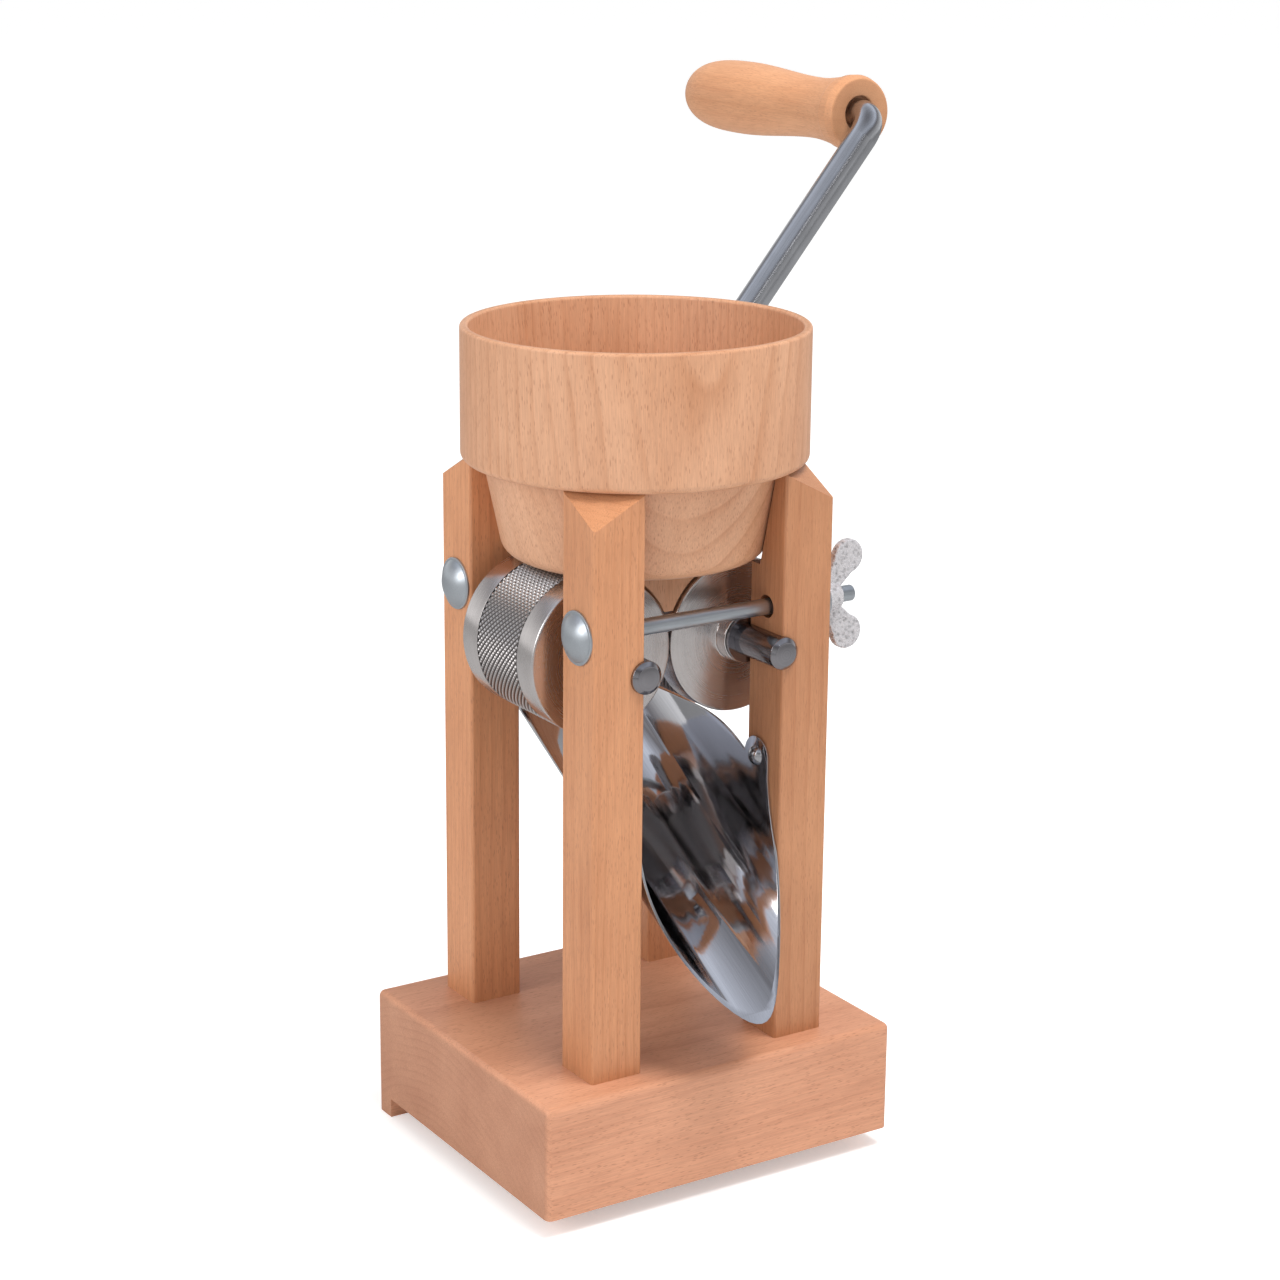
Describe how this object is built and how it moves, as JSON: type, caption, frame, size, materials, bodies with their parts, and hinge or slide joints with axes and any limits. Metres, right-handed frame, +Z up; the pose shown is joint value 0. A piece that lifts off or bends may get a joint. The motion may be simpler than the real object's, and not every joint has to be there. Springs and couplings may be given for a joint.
{
  "type": "hand grain flaker",
  "caption": "Hand-cranked table grain flaker: wooden hopper over twin knurled steel rollers on square wooden posts, with squeeze bolts, a polished scoop chute and a hooked base.",
  "frame": {"origin": "the middle of the base's underside, which rests on the table; the hook lip hangs 7.5 mm below it", "axes": "+Z up; -Y is the front, where the chute pours; +Y is the back, where the crank stands; +X is the side of the wing nuts"},
  "size_m": [0.2632, 0.3037, 0.3854],
  "materials": {
    "beech": "oiled steamed beech, fine grain with dark flecks",
    "turned_steel": "turned stainless with a knurled band",
    "bright_bar": "bright drawn stainless bar",
    "plated_steel": "bright zinc plate",
    "cast_wing": "cast and plated, grained surface",
    "polished_sheet": "mirror polished stainless sheet",
    "screw_steel": "bright stainless screw"
  },
  "bodies": {
    "stand": {"base": "beech", "post_screws": "plated_steel", "post_front_left": "beech", "post_front_right": "beech", "post_back_left": "beech", "post_back_right": "beech", "front_bolt": "plated_steel", "back_bolt": "plated_steel", "chute": "polished_sheet", "chute_screws": "screw_steel"},
    "hopper": {"hopper": "beech"},
    "crank": {"right_roller": "turned_steel", "right_shaft": "bright_bar", "right_roller_pin": "bright_bar", "right_thrust_washers": "plated_steel", "crank_rod": "bright_bar", "crank_lock_nut": "plated_steel", "grip_clip": "screw_steel"},
    "idle_roller": {"left_roller": "turned_steel", "left_shaft": "bright_bar", "left_roller_pin": "bright_bar", "left_thrust_washers": "plated_steel"},
    "grip": {"grip": "beech"},
    "front_washer": {"front_washer": "plated_steel"},
    "front_nut": {"front_wing_nut": "cast_wing"},
    "back_washer": {"back_washer": "plated_steel"},
    "back_nut": {"back_wing_nut": "cast_wing"}
  },
  "joints": [
    {"name": "crank_turn", "type": "hinge", "parent": "stand", "child": "crank", "pos_m": [0.0291, 0, 0.1914], "axis": [0, 1, 0], "continuous": true},
    {"name": "left_roller_turn", "type": "hinge", "parent": "stand", "child": "idle_roller", "pos_m": [-0.0291, 0, 0.1914], "axis": [0, 1, 0], "continuous": true},
    {"name": "grip_spin", "type": "hinge", "parent": "crank", "child": "grip", "pos_m": [0.17244, 0.11, 0.36223], "axis": [0, 1, 0], "continuous": true},
    {"name": "hopper_lift", "type": "slide", "parent": "stand", "child": "hopper", "axis": [0, 0, 1], "range_m": [0, 0.08]},
    {"name": "front_washer_slide", "type": "slide", "parent": "stand", "child": "front_washer", "axis": [1, 0, 0], "range_m": [0, 0.00501]},
    {"name": "front_nut_turn", "type": "hinge", "parent": "front_washer", "child": "front_nut", "pos_m": [0.06, -0.0428, 0.2062], "axis": [1, 0, 0], "range_deg": [0, 1800]},
    {"name": "back_washer_slide", "type": "slide", "parent": "stand", "child": "back_washer", "axis": [1, 0, 0], "range_m": [0, 0.00501]},
    {"name": "back_nut_turn", "type": "hinge", "parent": "back_washer", "child": "back_nut", "pos_m": [0.06, 0.0428, 0.2062], "axis": [1, 0, 0], "range_deg": [0, 1800]}
  ],
  "couplings": [
    {"joint": "left_roller_turn", "follows": "crank_turn", "ratio": -1},
    {"joint": "front_washer_slide", "follows": "front_nut_turn", "m_per_rad": 0.00015915},
    {"joint": "back_washer_slide", "follows": "back_nut_turn", "m_per_rad": 0.00015915}
  ]
}
